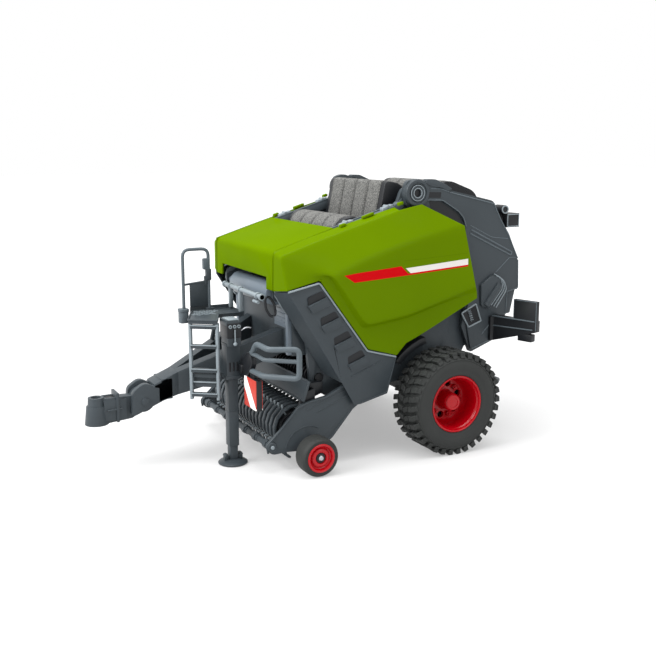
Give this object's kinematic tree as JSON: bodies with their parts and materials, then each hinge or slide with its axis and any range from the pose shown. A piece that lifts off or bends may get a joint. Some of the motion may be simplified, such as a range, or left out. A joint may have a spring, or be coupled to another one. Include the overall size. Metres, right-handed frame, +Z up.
{
  "type": "toy round baler",
  "caption": "Toy towed round baler with a hinged tailgate, lifting pick-up, opening side panels, platform with ladder, parking jack, belt loops and free-running wheels.",
  "frame": {"origin": "bottom centre of the bounding box, on the ground", "axes": "+Z up, forward (drawbar) -Y, the machine's left side +X"},
  "size_m": [0.1874, 0.3138, 0.1909],
  "materials": {
    "green_shell": "gloss",
    "grey_plastic": "satin",
    "light_grey_plastic": "satin",
    "dark_plastic": "satin",
    "red_plastic": "gloss",
    "white_plastic": "gloss",
    "tyre": "matte",
    "belting": "matte",
    "net_wrap": "satin"
  },
  "bodies": {
    "chassis": {"side_plate_left": "grey_plastic", "side_plate_right": "grey_plastic", "chamber_front": "belting", "chamber_floor": "grey_plastic", "axle": "dark_plastic", "inner_fender_left": "dark_plastic", "inner_fender_right": "dark_plastic", "front_wall": "grey_plastic", "net_roll": "net_wrap", "feed_floor": "grey_plastic", "hood": "green_shell", "cheek_left": "grey_plastic", "cheek_right": "grey_plastic", "belt_bed": "dark_plastic", "belt_front": "belting", "belt_middle": "belting", "roof_rail_left": "dark_plastic", "roof_rail_right": "dark_plastic", "drawbar": "grey_plastic", "jack_sleeve": "grey_plastic", "platform": "grey_plastic", "ladder": "grey_plastic", "handrail": "dark_plastic", "roll_bar": "light_grey_plastic", "guard": "grey_plastic", "warning_board": "white_plastic", "bale_ramp": "grey_plastic"},
    "wheel_left": {"tyre_left": "tyre", "rim_left": "red_plastic"},
    "wheel_right": {"tyre_right": "tyre", "rim_right": "red_plastic"},
    "pickup": {"pickup_side_left": "grey_plastic", "pickup_side_right": "grey_plastic", "lift_shaft": "dark_plastic", "press_bar": "grey_plastic", "pickup_bands": "dark_plastic", "wind_guard": "light_grey_plastic"},
    "gauge_wheel_left": {"gauge_tyre_left": "tyre", "gauge_rim_left": "red_plastic"},
    "gauge_wheel_right": {"gauge_tyre_right": "tyre", "gauge_rim_right": "red_plastic"},
    "reel": {"tine_reel": "dark_plastic"},
    "rotor": {"feed_rotor": "dark_plastic"},
    "tailgate": {"tailgate_side_left": "grey_plastic", "tailgate_side_right": "grey_plastic", "tailgate_wall": "grey_plastic", "tailgate_bed": "dark_plastic", "belt_rear": "belting", "light_bracket_left": "dark_plastic", "light_bracket_right": "dark_plastic", "rear_lamp_left": "dark_plastic", "rear_lamp_right": "dark_plastic"},
    "panel_left": {"side_panel_left": "green_shell"},
    "panel_right": {"side_panel_right": "green_shell"},
    "jack": {"jack_leg": "grey_plastic"},
    "hitch": {"hitch_head": "grey_plastic"}
  },
  "joints": [
    {"name": "wheel_left_spin", "type": "hinge", "parent": "chassis", "child": "wheel_left", "pos_m": [0.073, 0.08095, 0.0366], "axis": [1, 0, 0], "continuous": true},
    {"name": "wheel_right_spin", "type": "hinge", "parent": "chassis", "child": "wheel_right", "pos_m": [-0.073, 0.08095, 0.0366], "axis": [1, 0, 0], "continuous": true},
    {"name": "pickup_lift", "type": "hinge", "parent": "chassis", "child": "pickup", "pos_m": [0, 0.01495, 0.05], "axis": [-1, 0, 0], "range_deg": [0, 12]},
    {"name": "gauge_wheel_left_spin", "type": "hinge", "parent": "pickup", "child": "gauge_wheel_left", "pos_m": [0.078, -0.02405, 0.0132], "axis": [1, 0, 0], "continuous": true},
    {"name": "gauge_wheel_right_spin", "type": "hinge", "parent": "pickup", "child": "gauge_wheel_right", "pos_m": [-0.078, -0.02405, 0.0132], "axis": [1, 0, 0], "continuous": true},
    {"name": "reel_spin", "type": "hinge", "parent": "pickup", "child": "reel", "pos_m": [0, -0.02905, 0.027], "axis": [1, 0, 0], "continuous": true},
    {"name": "rotor_spin", "type": "hinge", "parent": "chassis", "child": "rotor", "pos_m": [0, -0.00905, 0.058], "axis": [1, 0, 0], "continuous": true},
    {"name": "tailgate_lift", "type": "hinge", "parent": "chassis", "child": "tailgate", "pos_m": [0, 0.06395, 0.1813], "axis": [1, 0, 0], "range_deg": [0, 60]},
    {"name": "panel_left_lift", "type": "hinge", "parent": "chassis", "child": "panel_left", "pos_m": [0.0545, 0.02095, 0.16537], "axis": [0, -0.9565, -0.2917], "range_deg": [0, 75]},
    {"name": "panel_right_lift", "type": "hinge", "parent": "chassis", "child": "panel_right", "pos_m": [-0.0545, 0.02095, 0.16537], "axis": [0, 0.9565, 0.2917], "range_deg": [0, 75]},
    {"name": "jack_slide", "type": "slide", "parent": "chassis", "child": "jack", "axis": [0, 0, 1], "range_m": [0, 0.016]},
    {"name": "hitch_tilt", "type": "hinge", "parent": "chassis", "child": "hitch", "pos_m": [0, -0.11805, 0.0445], "axis": [1, 0, 0], "range_deg": [-15, 15]}
  ]
}
